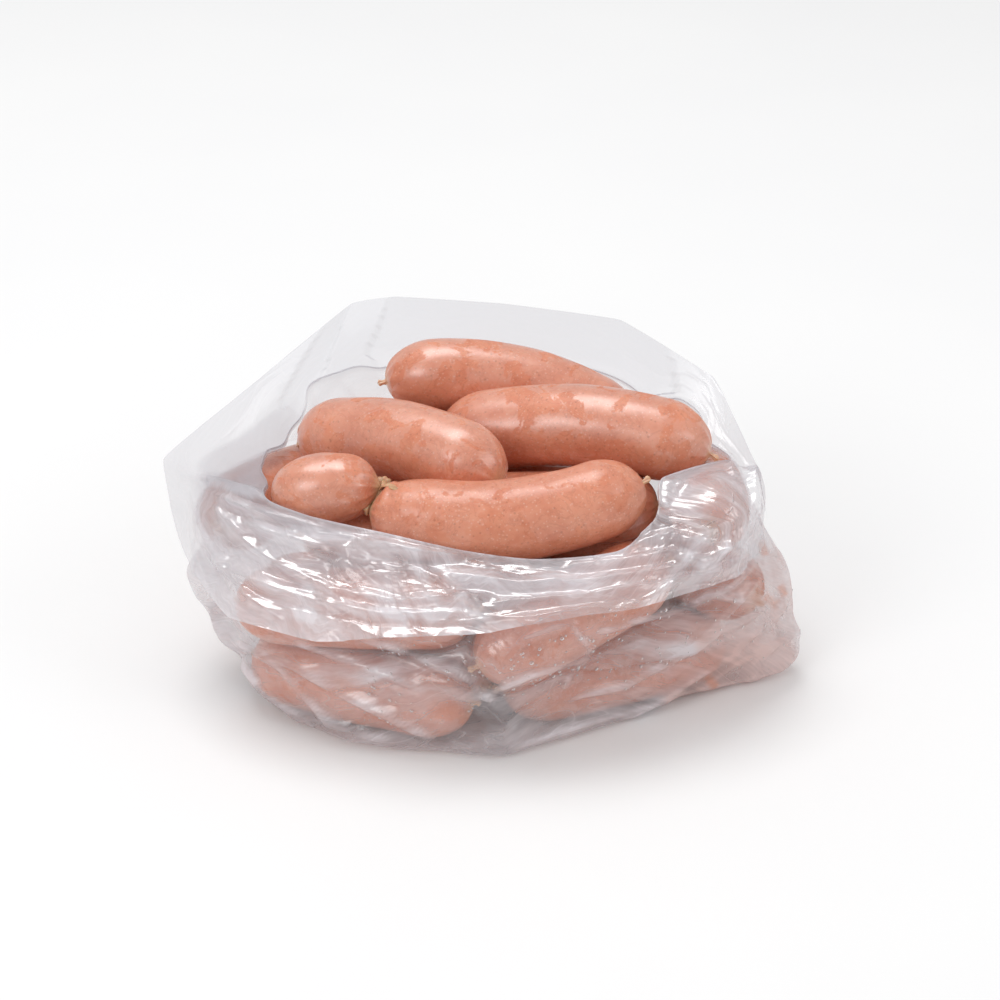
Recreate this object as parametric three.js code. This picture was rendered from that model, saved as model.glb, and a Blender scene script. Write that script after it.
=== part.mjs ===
// An open clear plastic bag filled with short, thick sausage links.
// The bag stands on its flat bottom. Its mouth is turned out: the film lies down over the front as a cuff and
// stands out behind the links as a wide collar. Millimetres, +Z up, +X to the right of the bag's front, +Y
// away from it.
import * as THREE from "three";

// Links
const LINK_RADIUS = 17.3;
const LINK_LENGTH = 112;
const LINK_BOW = 6;
const DOME_STRETCH = 1.2; // length of a rounded end, as a share of the link's radius
const TIP_RADIUS = 1.7;
const TIP_LENGTH = 5;
const LINK_CLEARANCE = 0.9;
const TWIST_GAP = 0.4;
const TWIST_LEAD = 3; // how far the joining casing runs straight on from each tip
const TWIST_RADIUS = 0.9;
const TWIST_SIDES = 10;
const TWIST_RINGS = 8;
const TWIST_TURN = 2.6; // radians from one end of the joining casing to the other

// Film
const FILM_THICKNESS = 0.8;
const FILM_CLEARANCE = 2.4; // from a link to the outer face of the film
const CUFF_GAP = 4; // from the bag's side to the cuff that hangs over it
const FOLD_RISE = 2.2;
const FILM_COLUMNS = 72;
const FILM_CENTRE = new THREE.Vector3(4, 0, 55);

// The belly of the bag is an ellipse in plan that widens upwards, cut flat along its front right side.
const BELLY = { x: 5, halfWidth: 118, halfDepth: 76, flare: 0.26, flareTop: 62 };
const FRONT_RIGHT_CUT = { turn: 25, distance: 66 };

// Stiff lower corners of the bag, which stand out past the links: [x, y, z]
const BAG_CORNERS = [
  [146, -9, 4],
  [144, -9, 26],
  [-114, -24, 4],
  [-66, -73, 4],
  [10, -78, 4],
];
const CORNER_RADIUS = 3;

// The fold where the film turns out, and the free edge of the turned-out film: [x, y, z], round from the
// right over the back and the left to the front.
const MOUTH = [
  { fold: [114, 12, 100], edge: [129, 8, 92] },
  { fold: [99, 50, 107], edge: [109, 66, 117] },
  { fold: [70, 76, 113], edge: [66, 100, 132] },
  { fold: [14, 90, 119], edge: [10, 108, 137] },
  { fold: [-38, 90, 119], edge: [-42, 114, 138] },
  { fold: [-82, 74, 112], edge: [-64, 112, 135] },
  { fold: [-130, 10, 96], edge: [-147, 24, 96] },
  { fold: [-120, -4, 95], edge: [-140, 2, 70] },
  { fold: [-104, -16, 96], edge: [-132, -18, 60] },
  { fold: [-80, -34, 98], edge: [-112, -52, 56] },
  { fold: [-44, -50, 97], edge: [-72, -76, 58] },
  { fold: [-10, -58, 92], edge: [-32, -87, 67] },
  { fold: [24, -60, 88], edge: [18, -88, 72] },
  { fold: [62, -52, 88], edge: [68, -76, 75] },
  { fold: [106, -34, 92], edge: [124, -30, 74] },
];

// The links that lie in the mouth, from end to end, with the way and the height of their bend.
const TOP_LINKS = [
  { name: "link_back", from: [-46.5, 60, 115.5], to: [70, 60, 94], bow: [0, 4, 9], radius: 16.4 },
  { name: "link_right", from: [-21, 33, 109], to: [103, 14, 104], bow: [0, 0, 6], radius: 17.6 },
  { name: "link_left", from: [-86, 36, 100], to: [17, 2, 96], bow: [0, 4, 9], radius: 17.2 },
  { name: "link_front", from: [-45, -32, 98], to: [71, -17, 102], bow: [0, -11, -5], radius: 16.4 },
  { name: "link_short", from: [-48.5, -20, 103], to: [-92, -17, 95], bow: [0, 0, 4], radius: 15.2 },
  { name: "link_behind", from: [-26, 8, 78], to: [80, -2, 85], bow: [0, 0, 2], radius: 16.6 },
];

// The links that press against the front and the sides of the bag.
const WALL_LINKS = [
  { name: "link_low_left", from: [-112, -40, 19], to: [-6, -64, 19], bow: [2, -5, 0], radius: 17.3 },
  { name: "link_low_right", from: [12, -60, 19], to: [112, -12, 19], bow: [2, -4, 0], radius: 17.3 },
  { name: "link_slant", from: [0, -66, 34], to: [84, -44, 76], bow: [0, -3, 2], radius: 17 },
  { name: "link_middle_left", from: [-110, -34, 55], to: [-2, -58, 54], bow: [0, -4, 2], radius: 17 },
  { name: "link_far_left", from: [-104, -12, 82], to: [-92, 76, 62], bow: [-9, 0, 3], radius: 16.6 },
  { name: "link_far_right", from: [91, -34, 80], to: [106, 58, 62], bow: [6, 0, 4], radius: 16.4 },
];

// The links between them and the back start as level rows, and settle against each other and the bag.
const INNER_ROWS = [
  { height: 19, turn: 12, links: [[-58, -8], [64, 12], [-56, 36]] },
  { height: 50, turn: -6, links: [[66, 4], [-58, 8], [50, 44], [-46, 46]] },
  { height: 80, turn: -4, links: [[6, 64]] },
];
const SETTLE_STEPS = 900;
const SETTLE_SINK = 0.12;
const TOP_EASE = 0.015; // how readily a link in the mouth gives way
const WALL_EASE = 0.2;
const RIGHTING = 0.02; // how much a link turns back towards its first lie at each step

const UP = new THREE.Vector3(0, 0, 1);
const radians = THREE.MathUtils.degToRad;
const vector = (values) => new THREE.Vector3(...values);

// A repeatable random number from 0 to 1 for each seed.
function random(seed) {
  const value = Math.sin(seed * 127.1 + 311.7) * 43758.5453;
  return value - Math.floor(value);
}

// A link's middle line from end to end, s from -1 to 1, in the link's own frame.
function middleLine(link, s) {
  return link.half.clone().multiplyScalar(s).addScaledVector(link.bow, 1 - s * s);
}

// A link's radius at a distance from its nearer end.
function radiusAt(link, distance) {
  const dome = link.radius * DOME_STRETCH;
  const share = Math.min(distance / dome, 1);
  return link.radius * Math.sqrt(Math.max(0, 1 - (1 - share) ** 2));
}

// Spheres along the middle line, which stand for a link while the heap settles and the film is drawn round.
function spheresOf(link) {
  const count = 13;
  const length = 2 * link.half.length();
  const inset = link.radius * 0.45;
  const body = Array.from({ length: count }, (_, i) => {
    const distance = inset + ((length - 2 * inset) * i) / (count - 1);
    const toEnd = Math.min(distance, length - distance);
    const radius = Math.min(radiusAt(link, toEnd), toEnd + 0.15 * link.radius);
    return { at: middleLine(link, (2 * distance) / length - 1), radius };
  });
  const tip = 1 + (1.4 * TIP_LENGTH) / length;
  return [...body, ...[-tip, tip].map((s) => ({ at: middleLine(link, s), radius: TIP_RADIUS * 1.2 }))];
}

function shownLink({ name, from, to, bow, radius }, ease) {
  const [a, b] = [vector(from), vector(to)];
  const half = b.clone().sub(a).multiplyScalar(0.5);
  const link = { name, half, bow: vector(bow), radius, ease, turn: new THREE.Quaternion() };
  link.at = a.add(b).multiplyScalar(0.5);
  link.home = link.at.clone();
  link.spheres = spheresOf(link);
  return link;
}

function innerLink(name, at, turn, seed) {
  const length = LINK_LENGTH * (0.94 + 0.12 * random(seed));
  const heading = radians(turn + 10 * (random(seed + 1) - 0.5));
  const half = new THREE.Vector3(Math.cos(heading), Math.sin(heading), 0).multiplyScalar(length / 2);
  const bend = LINK_BOW * (0.5 + random(seed + 2)) * (random(seed + 3) < 0.5 ? -1 : 1);
  const bow = new THREE.Vector3(-Math.sin(heading), Math.cos(heading), 0).multiplyScalar(bend);
  const radius = LINK_RADIUS * (0.97 + 0.06 * random(seed + 4));
  const link = { name, at: vector(at), half, bow, radius, ease: 1, turn: new THREE.Quaternion() };
  link.spheres = spheresOf(link);
  return link;
}

function innerLinks() {
  return INNER_ROWS.flatMap(({ height, turn, links }, row) =>
    links.map(([x, y], i) => innerLink(`link_row${row + 1}_${i + 1}`, [x, y, height], turn, 10 * row + i)),
  );
}

// Where a link's spheres lie in the bag.
function placedSpheres(link) {
  return link.spheres.map(({ at, radius }) => ({
    at: at.clone().applyQuaternion(link.turn).add(link.at),
    radius,
  }));
}

// Moves a link by a push at a point, as a light rod would move.
const ROD_STIFFNESS = 1 / 38 ** 2;
function push(link, point, direction, depth) {
  const arm = point.clone().sub(link.at).cross(direction);
  const step = depth / (1 + ROD_STIFFNESS * arm.lengthSq());
  link.at.addScaledVector(direction, step);
  const angle = arm.length() * ROD_STIFFNESS * step;
  if (angle > 1e-7) link.turn.premultiply(new THREE.Quaternion().setFromAxisAngle(arm.normalize(), angle));
}

// How far a sphere stands out through the floor or the side of the bag, and the way back in.
function wallPushes({ at, radius }) {
  const pushes = [];
  const floor = FILM_CLEARANCE - LINK_CLEARANCE + radius - at.z;
  if (floor > 0) pushes.push({ direction: UP, depth: floor });
  const widen = BELLY.flare * Math.min(at.z, BELLY.flareTop);
  const [a, b] = [BELLY.halfWidth + widen - radius, BELLY.halfDepth + widen - radius];
  const [x, y] = [(at.x - BELLY.x) / a, at.y / b];
  const outside = Math.hypot(x, y);
  if (outside > 1) {
    const inward = new THREE.Vector3(-x / a, -y / b, 0).normalize();
    pushes.push({ direction: inward, depth: (outside - 1) * Math.min(a, b) });
  }
  const turn = radians(FRONT_RIGHT_CUT.turn);
  const cut = new THREE.Vector3(Math.sin(turn), -Math.cos(turn), 0);
  const past = (at.x - BELLY.x) * cut.x + at.y * cut.y + radius - FRONT_RIGHT_CUT.distance - widen;
  if (past > 0) pushes.push({ direction: cut.negate(), depth: past });
  return pushes;
}

// Parts two links where they overlap most.
function separate(linkA, linkB) {
  const [spheresA, spheresB] = [placedSpheres(linkA), placedSpheres(linkB)];
  let deepest = null;
  for (const a of spheresA) {
    for (const b of spheresB) {
      const apart = a.at.distanceTo(b.at);
      const depth = a.radius + b.radius + LINK_CLEARANCE - apart;
      if (depth > 0 && (!deepest || depth > deepest.depth)) deepest = { a, b, depth, apart };
    }
  }
  if (!deepest) return;
  const { a, b, depth, apart } = deepest;
  const away = a.at.clone().sub(b.at).divideScalar(apart);
  const contact = b.at.clone().addScaledVector(away, b.radius);
  const shareA = linkA.ease / (linkA.ease + linkB.ease);
  push(linkA, contact, away, depth * shareA);
  push(linkB, contact, away.clone().negate(), depth * (1 - shareA));
}

const LEVEL = new THREE.Quaternion();

// Lets the links sink and slide until no two overlap and all lie within the bag.
function settle(links) {
  for (let step = 0; step < SETTLE_STEPS; step++) {
    const share = Math.max(0, 1 - step / (SETTLE_STEPS * 0.85));
    for (const link of links) {
      if (link.home) link.at.lerp(link.home, 0.06 * share);
      else link.at.z -= SETTLE_SINK * share;
      link.turn.slerp(LEVEL, RIGHTING * share);
    }
    links.forEach((linkA, i) => {
      for (const linkB of links.slice(i + 1)) {
        const reach = linkA.half.length() + linkB.half.length();
        if (linkA.at.distanceTo(linkB.at) < reach) separate(linkA, linkB);
      }
    });
    for (const link of links) {
      for (const sphere of placedSpheres(link)) {
        for (const { direction, depth } of wallPushes(sphere)) push(link, sphere.at, direction, depth * 0.6);
      }
    }
  }
}

// A closed surface of rings, from a first point to a last point.
function ringSolid(first, rings, last) {
  const sides = rings[0].length;
  const points = [first, ...rings.flat(), last];
  const index = [];
  const at = (ring, side) => 1 + ring * sides + (side % sides);
  for (let side = 0; side < sides; side++) {
    index.push(0, at(0, side + 1), at(0, side));
    index.push(points.length - 1, at(rings.length - 1, side), at(rings.length - 1, side + 1));
    for (let ring = 0; ring + 1 < rings.length; ring++) {
      const [a, b] = [at(ring, side), at(ring, side + 1)];
      const [c, d] = [at(ring + 1, side + 1), at(ring + 1, side)];
      index.push(a, b, c, a, c, d);
    }
  }
  const geometry = new THREE.BufferGeometry().setFromPoints(points);
  geometry.setIndex(index);
  return geometry;
}

// A link with its rounded ends and the short dried tips of its casing.
function linkGeometry(link, sides, domeRings, middleRings) {
  const length = 2 * link.half.length();
  const dome = link.radius * DOME_STRETCH;
  const stations = [{ distance: -TIP_LENGTH * 0.85, radius: TIP_RADIUS * 1.15 }];
  stations.push({ distance: -TIP_LENGTH * 0.3, radius: TIP_RADIUS * 0.75 });
  for (let i = 1; i <= domeRings; i++) {
    const distance = dome * (1 - Math.cos((i / domeRings) * (Math.PI / 2)));
    stations.push({ distance, radius: Math.max(radiusAt(link, distance), TIP_RADIUS) });
  }
  const mirrored = stations.map(({ distance, radius }) => ({ distance: length - distance, radius }));
  mirrored.reverse();
  for (let i = 1; i <= middleRings; i++) {
    const distance = dome + ((length - 2 * dome) * i) / (middleRings + 1);
    stations.push({ distance, radius: link.radius });
  }
  const ringAt = ({ distance, radius }) => {
    const s = (2 * distance) / length - 1;
    const along = middleLine(link, s + 0.01).sub(middleLine(link, s - 0.01)).normalize();
    const side = new THREE.Vector3().crossVectors(UP, along).normalize();
    const over = new THREE.Vector3().crossVectors(along, side);
    return Array.from({ length: sides }, (_, i) => {
      const angle = (2 * Math.PI * i) / sides;
      return middleLine(link, s)
        .addScaledVector(side, radius * Math.cos(angle))
        .addScaledVector(over, radius * Math.sin(angle));
    });
  };
  const end = (2 * TIP_LENGTH) / length + 1;
  return ringSolid(middleLine(link, -end), [...stations, ...mirrored].map(ringAt), middleLine(link, end));
}

// Directions spread evenly over a sphere.
function evenDirections(count) {
  const step = Math.PI * (3 - Math.sqrt(5));
  return Array.from({ length: count }, (_, i) => {
    const z = 1 - (2 * i + 1) / count;
    const ring = Math.sqrt(1 - z * z);
    return new THREE.Vector3(ring * Math.cos(i * step), ring * Math.sin(i * step), z);
  });
}

// The taut film round the heap, as a distance from the bag's centre in each direction.
function filmShape(links) {
  const grown = links.flatMap(placedSpheres).map(({ at, radius }) => ({
    at: at.clone().sub(FILM_CENTRE),
    radius: radius + FILM_CLEARANCE,
  }));
  const corners = BAG_CORNERS.map((corner) => ({
    at: vector(corner).sub(FILM_CENTRE),
    radius: CORNER_RADIUS,
  }));
  const all = [...grown, ...corners];
  const planes = evenDirections(1600).map((normal) => ({
    normal,
    reach: Math.max(...all.map(({ at, radius }) => at.dot(normal) + radius)),
  }));

  const hull = (direction) => {
    let least = Infinity;
    for (const { normal, reach } of planes) {
      const slope = normal.dot(direction);
      if (slope > 0.05) least = Math.min(least, reach / slope);
    }
    return direction.z < -0.01 ? Math.min(least, FILM_CENTRE.z / -direction.z) : least;
  };

  // How far out the outermost link reaches in a direction.
  const reach = (direction) => {
    let most = 0;
    for (const { at, radius } of grown) {
      const along = at.dot(direction);
      const square = along * along - at.lengthSq() + radius * radius;
      if (square > 0 && along > 0) most = Math.max(most, along + Math.sqrt(square));
    }
    return most;
  };
  return { hull, reach };
}

const LEVEL_START = radians(2); // above this angle the film runs straight to the fold

function directionAt(turn, lift) {
  return new THREE.Vector3(Math.cos(turn) * Math.cos(lift), Math.sin(turn) * Math.cos(lift), Math.sin(lift));
}

// The side of the bag below its fold, in the direction (turn, lift), given the fold above it.
function sideRadius(shape, turn, lift, fold) {
  const direction = directionAt(turn, lift);
  if (lift <= LEVEL_START) return shape.hull(direction);
  const belly = directionAt(turn, LEVEL_START).multiplyScalar(shape.hull(directionAt(turn, LEVEL_START)));
  const [r1, z1] = [Math.hypot(belly.x, belly.y), belly.z];
  const [r2, z2] = [Math.hypot(fold.x, fold.y), fold.z];
  const [dr, dz] = [Math.cos(lift), Math.sin(lift)];
  const straight = (r1 * z2 - r2 * z1) / (dr * (z2 - z1) - dz * (r2 - r1));
  return Math.max(straight, shape.reach(direction));
}

const LOW_LIFTS = [-64, -46, -36, -29, -21, -11, 2].map(radians);
const UPPER_ROWS = 4;
const CUFF_SHARES = [0.12, 0.35, 0.65, 1];

// The film as one sheet: a centre point under the bag, and rings from there up the side, over the fold and on
// to the free edge.
function filmSheet(shape) {
  const folds = MOUTH.map(({ fold }) => vector(fold));
  const edges = MOUTH.map(({ edge }) => vector(edge));
  const foldLine = new THREE.CatmullRomCurve3(folds, true, "catmullrom", 0.35);
  const edgeLine = new THREE.CatmullRomCurve3(edges, true, "catmullrom", 0.1);
  const shares = Array.from({ length: FILM_COLUMNS }, (_, i) => i / FILM_COLUMNS);
  const columns = shares.map((share) => {
    const fold = foldLine.getPoint(share).sub(FILM_CENTRE);
    const turn = Math.atan2(fold.y, fold.x);
    const foldLift = Math.atan2(fold.z, Math.hypot(fold.x, fold.y));
    const sideAt = (lift) => directionAt(turn, lift).multiplyScalar(sideRadius(shape, turn, lift, fold));
    const column = LOW_LIFTS.map(sideAt);
    for (let row = 1; row < UPPER_ROWS; row++) {
      column.push(sideAt(LEVEL_START + ((foldLift - LEVEL_START) * row) / UPPER_ROWS));
    }
    column.push(fold);
    return column;
  });
  clearFacets(shape, columns);

  const sides = columns.map((column) => [...column]);
  shares.forEach((share, i) => {
    const fold = sides[i][SIDE_ROWS - 1];
    const edge = edgeLine.getPoint(share).sub(FILM_CENTRE);
    const out = new THREE.Vector3(fold.x, fold.y, 0).normalize();
    columns[i].push(fold.clone().addScaledVector(out, CUFF_GAP / 2).addScaledVector(UP, FOLD_RISE));
    for (const cuffShare of CUFF_SHARES) {
      const point = fold.clone().lerp(edge, cuffShare).addScaledVector(out, CUFF_GAP * (1 - cuffShare));
      columns[i].push(clearOfSide(sides, point));
    }
  });
  return columns.map((column) => column.map((point) => point.add(FILM_CENTRE)));
}

// How far the side stands out from the bag's middle at a height, or nothing above its fold.
function sideReach(column, height) {
  for (let row = column.length - 1; row > 0; row--) {
    const [low, high] = [column[row - 1], column[row]];
    if (height > high.z + 1 || height < low.z) continue;
    const share = Math.min((height - low.z) / (high.z - low.z), 1);
    return THREE.MathUtils.lerp(Math.hypot(low.x, low.y), Math.hypot(high.x, high.y), share);
  }
  return 0;
}

// Keeps a point of the cuff outside the side of the bag that it hangs over.
function clearOfSide(sides, point) {
  const turnOf = ({ x, y }) => Math.atan2(y, x);
  const own = turnOf(point);
  const apart = (column) => {
    const turn = turnOf(column[6]) - own;
    return Math.abs(Math.atan2(Math.sin(turn), Math.cos(turn)));
  };
  const near = [...sides].sort((a, b) => apart(a) - apart(b)).slice(0, 3);
  const least = Math.max(...near.map((column) => sideReach(column, point.z))) + CUFF_GAP;
  const reach = Math.hypot(point.x, point.y);
  if (reach >= least) return point;
  return new THREE.Vector3((point.x * least) / reach, (point.y * least) / reach, point.z);
}

// Presses the side of the bag outwards wherever a flat facet of it would touch a link.
const SIDE_ROWS = LOW_LIFTS.length + UPPER_ROWS;
function clearFacets(shape, columns) {
  const count = columns.length;
  for (let pass = 0; pass < 14; pass++) {
    for (let column = 0; column < count; column++) {
      for (let row = 0; row + 1 < SIDE_ROWS; row++) {
        const [left, right] = [columns[column], columns[(column + 1) % count]];
        const corners = [left[row], right[row], right[row + 1], left[row + 1]];
        const samples = [
          [0.5, 0.5, 0, 0],
          [0, 0.5, 0.5, 0],
          [0.5, 0, 0.5, 0],
          [0.5, 0, 0, 0.5],
          [0, 0, 0.5, 0.5],
          [0.8, 0, 0.2, 0],
          [0.2, 0, 0.8, 0],
        ];
        for (const weights of samples) {
          const point = new THREE.Vector3();
          weights.forEach((weight, i) => point.addScaledVector(corners[i], weight));
          const short = shape.reach(point.clone().normalize()) - point.length();
          if (short <= 0) continue;
          weights.forEach((weight, i) => {
            if (weight > 0) corners[i].setLength(corners[i].length() + short);
          });
        }
      }
    }
  }
  for (const column of columns) for (const point of column) point.z = Math.max(point.z, -FILM_CENTRE.z);
}

// The sheet given its thickness, as one closed solid.
function filmGeometry(columns) {
  const rows = columns[0].length;
  const outer = [];
  const index = [];
  const count = columns.length;
  const centre = count * rows;
  const at = (column, row) => (column % count) * rows + row;
  for (const column of columns) outer.push(...column);
  outer.push(new THREE.Vector3(FILM_CENTRE.x, FILM_CENTRE.y, 0));
  for (let column = 0; column < count; column++) {
    index.push(centre, at(column + 1, 0), at(column, 0));
    for (let row = 0; row + 1 < rows; row++) {
      const [a, b] = [at(column, row), at(column + 1, row)];
      const [c, d] = [at(column + 1, row + 1), at(column, row + 1)];
      index.push(a, b, c, a, c, d);
    }
  }
  const sheet = new THREE.BufferGeometry().setFromPoints(outer).setIndex(index);
  sheet.computeVertexNormals();
  const normals = sheet.getAttribute("normal");
  const inner = outer.map((point, i) =>
    point.clone().addScaledVector(new THREE.Vector3().fromBufferAttribute(normals, i), -FILM_THICKNESS),
  );
  const total = outer.length;
  const closed = [...index];
  for (let i = 0; i < index.length; i += 3) {
    closed.push(index[i] + total, index[i + 2] + total, index[i + 1] + total);
  }
  for (let column = 0; column < count; column++) {
    const [a, b] = [at(column, rows - 1), at(column + 1, rows - 1)];
    closed.push(a, b, b + total, a, b + total, a + total);
  }
  return new THREE.BufferGeometry().setFromPoints([...outer, ...inner]).setIndex(closed);
}

// A point at a distance before the first dried tip of a link, straight out from it.
function beforeTip(link, distance) {
  const s = -1 - (2 * (TIP_LENGTH + distance)) / (2 * link.half.length());
  return middleLine(link, s).applyQuaternion(link.turn).add(link.at);
}

// The twisted casing that joins the tips of two links, as a ribbed cord with its ends just clear of them.
function twistGeometry(linkA, linkB) {
  const path = new THREE.CubicBezierCurve3(
    beforeTip(linkA, TWIST_GAP),
    beforeTip(linkA, TWIST_GAP + TWIST_LEAD),
    beforeTip(linkB, TWIST_GAP + TWIST_LEAD),
    beforeTip(linkB, TWIST_GAP),
  );
  const frames = path.computeFrenetFrames(TWIST_RINGS - 1, false);
  const rings = frames.tangents.map((_, ring) => {
    const share = ring / (TWIST_RINGS - 1);
    return Array.from({ length: TWIST_SIDES }, (_, i) => {
      const angle = (2 * Math.PI * i) / TWIST_SIDES + TWIST_TURN * share;
      const radius = TWIST_RADIUS * (i % 2 ? 0.7 : 1) * (0.75 + 0.5 * Math.abs(2 * share - 1));
      return path
        .getPointAt(share)
        .addScaledVector(frames.normals[ring], radius * Math.cos(angle))
        .addScaledVector(frames.binormals[ring], radius * Math.sin(angle));
    });
  });
  return ringSolid(beforeTip(linkA, TWIST_GAP - 0.1), rings, beforeTip(linkB, TWIST_GAP - 0.1));
}

const linkMaterial = new THREE.MeshStandardMaterial({ color: 0xd08a6e, roughness: 0.38, metalness: 0 });
const casingMaterial = new THREE.MeshStandardMaterial({ color: 0xb8935a, roughness: 0.6, metalness: 0 });
const filmMaterial = new THREE.MeshStandardMaterial({
  color: 0xe9eaef,
  roughness: 0.15,
  metalness: 0,
  transparent: true,
  opacity: 0.35,
});

function build() {
  const shown = [
    ...TOP_LINKS.map((sizes) => shownLink(sizes, TOP_EASE)),
    ...WALL_LINKS.map((sizes) => shownLink(sizes, WALL_EASE)),
  ];
  const links = [...shown, ...innerLinks()];
  settle(links);

  const bag = new THREE.Group();
  for (const link of links) {
    const geometry = link.home ? linkGeometry(link, 12, 4, 5) : linkGeometry(link, 10, 3, 4);
    const mesh = new THREE.Mesh(geometry, linkMaterial.clone());
    mesh.name = link.name;
    mesh.quaternion.copy(link.turn);
    mesh.position.copy(link.at);
    bag.add(mesh);
  }

  const find = (name) => links.find((link) => link.name === name);
  const twist = new THREE.Mesh(twistGeometry(find("link_short"), find("link_front")), casingMaterial);
  twist.name = "casing_twist";
  bag.add(twist);

  const film = new THREE.Mesh(filmGeometry(filmSheet(filmShape(links))), filmMaterial);
  film.name = "bag_film";
  bag.add(film);

  // The origin goes to the middle of the bag's foot.
  const box = new THREE.Box3().setFromObject(bag, true);
  const middle = box.getCenter(new THREE.Vector3());
  for (const mesh of bag.children) mesh.position.sub(new THREE.Vector3(middle.x, middle.y, box.min.z));
  return bag;
}

export default build();
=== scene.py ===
import math
import bpy
import numpy as np
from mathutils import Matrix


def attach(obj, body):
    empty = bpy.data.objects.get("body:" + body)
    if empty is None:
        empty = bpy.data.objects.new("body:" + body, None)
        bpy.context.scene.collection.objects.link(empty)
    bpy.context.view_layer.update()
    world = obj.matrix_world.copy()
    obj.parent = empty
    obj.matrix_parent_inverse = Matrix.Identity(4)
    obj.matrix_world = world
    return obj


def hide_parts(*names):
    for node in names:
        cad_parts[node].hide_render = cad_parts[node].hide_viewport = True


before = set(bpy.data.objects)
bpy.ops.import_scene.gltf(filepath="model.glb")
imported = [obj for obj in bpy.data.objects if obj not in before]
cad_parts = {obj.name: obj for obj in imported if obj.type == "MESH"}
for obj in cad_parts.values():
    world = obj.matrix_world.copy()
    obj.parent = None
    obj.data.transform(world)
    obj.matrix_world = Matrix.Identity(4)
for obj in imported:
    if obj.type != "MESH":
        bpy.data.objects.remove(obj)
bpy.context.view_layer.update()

MM = 0.001
SHIFT = np.array([0.45, -12.84, 0.0])  # from the places below to the part's own frame, mm
CENTRE = np.array([4.0, 0.0, 55.0]) + SHIFT  # the middle of the film

# The camera looks along +Y and down, with a long lens.
CAMERA_TARGET = np.array([8.2, 0.0, 87.2]) + SHIFT
CAMERA_DISTANCE = 1200.0
CAMERA_LIFT = math.radians(28.0)
FOCAL_PIXELS = 2640.0
CAMERA_AHEAD = np.array([0.0, math.cos(CAMERA_LIFT), -math.sin(CAMERA_LIFT)])
CAMERA_UP = np.array([0.0, math.sin(CAMERA_LIFT), math.cos(CAMERA_LIFT)])
CAMERA_PLACE = CAMERA_TARGET - CAMERA_AHEAD * CAMERA_DISTANCE

# The inner rim of the mouth, the shoulder that the turned-out film lies over, and its free edge, mm: round
# from the right over the back and the left to the front.
MOUTH = [
    ([115, 14, 101], None, [129, 8, 92]),
    ([99, 50, 107], None, [109, 66, 117]),
    ([70, 76, 113], None, [66, 100, 132]),
    ([14, 90, 119], None, [10, 108, 137]),
    ([-38, 90, 119], None, [-42, 114, 138]),
    ([-82, 74, 112], None, [-64, 112, 135]),
    ([-95, 42, 102], [-108, 44, 107], [-108, 65, 115]),
    ([-98, 12, 100], [-131, 12, 98], [-147, 24, 96]),
    ([-97, -8, 99], [-122, -5, 97], [-140, 2, 70]),
    ([-91, -25, 98], [-104, -20, 98], [-132, -18, 60]),
    ([-76, -38, 98], None, [-112, -52, 56]),
    ([-44, -51, 97], None, [-72, -76, 58]),
    ([-10, -58, 92], None, [-32, -87, 67]),
    ([24, -60, 88], None, [18, -88, 72]),
    ([60, -53, 88], None, [68, -76, 75]),
    ([80, -37, 96], [110, -38, 93], [112, -48, 74]),
    ([80, -17, 105], [124, -14, 98], [127, -22, 76]),
    ([104, 0, 104], [124, 0, 101], [130, -5, 85]),
]
SHOULDER_SHARE = 0.15  # how far the shoulder lies from the rim to the edge where no place is given

# Stiff corners of the bag, mm
RIGHT_CORNERS = [[146, -9, 4], [145, -8, 30], [140, -5, 56]]
FRONT_CORNERS = [[-137, -4, 55], [-114, -24, 4], [-66, -73, 4], [10, -78, 4]]
BAG_CORNERS = RIGHT_CORNERS + FRONT_CORNERS
CORNER_RADIUS = 3.0

LINK_NAMES = sorted(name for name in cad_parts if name.startswith("link_"))
JOINED_ENDS = {"link_short": 1, "link_front": 0}
TIP_LENGTH = 5.0
DOME_STRETCH = 1.2  # length of a rounded end, as a share of the link's radius
SKIN = 0.25  # how far the fine links stand out from the solids

# Random draws
LINK_SEED = 100
FILM_SEED = 11
BEAD_SEED = 5

# Rows and columns of the film
SIDE_ROWS = 136
ROLL_ROWS = 4
CUFF_ROWS = 68
FILM_COLUMNS = 440
SHEET_RADIUS = 118.0  # of the round tube that the film's fine texture lies on, mm


def mesh_piece(name, points, faces, material, nodes, values=None):
    """A smooth mesh from points in mm, with named values at its points, which rides on the part."""
    mesh = bpy.data.meshes.new(name)
    mesh.from_pydata((np.asarray(points) * MM).tolist(), [], faces)
    mesh.shade_smooth()
    for key, array in (values or {}).items():
        array = np.asarray(array, dtype=np.float32)
        kind = "FLOAT" if array.ndim == 1 else "FLOAT_VECTOR"
        layer = mesh.attributes.new(key, kind, "POINT")
        layer.data.foreach_set("value" if array.ndim == 1 else "vector", array.ravel())
    mesh.materials.append(material)
    piece = bpy.data.objects.new(name, mesh)
    bpy.context.scene.collection.objects.link(piece)
    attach(piece, "root")
    if nodes:
        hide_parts(*nodes)
    return piece


def smoothstep(low, high, value):
    share = np.clip((value - low) / (high - low), 0, 1)
    return share * share * (3 - 2 * share)


def unit(vectors):
    return vectors / np.maximum(np.linalg.norm(vectors, axis=-1, keepdims=True), 1e-9)


# Materials


def node_material(name):
    material = bpy.data.materials.new(name)
    material.use_nodes = True
    tree = material.node_tree
    tree.nodes.clear()
    return material, tree


def add_node(tree, kind, **inputs):
    node = tree.nodes.new(kind)
    for key, value in inputs.items():
        node.inputs[key.replace("_", " ")].default_value = value
    return node


def object_place(tree):
    return tree.nodes.new("ShaderNodeTexCoord").outputs["Object"]


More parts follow.
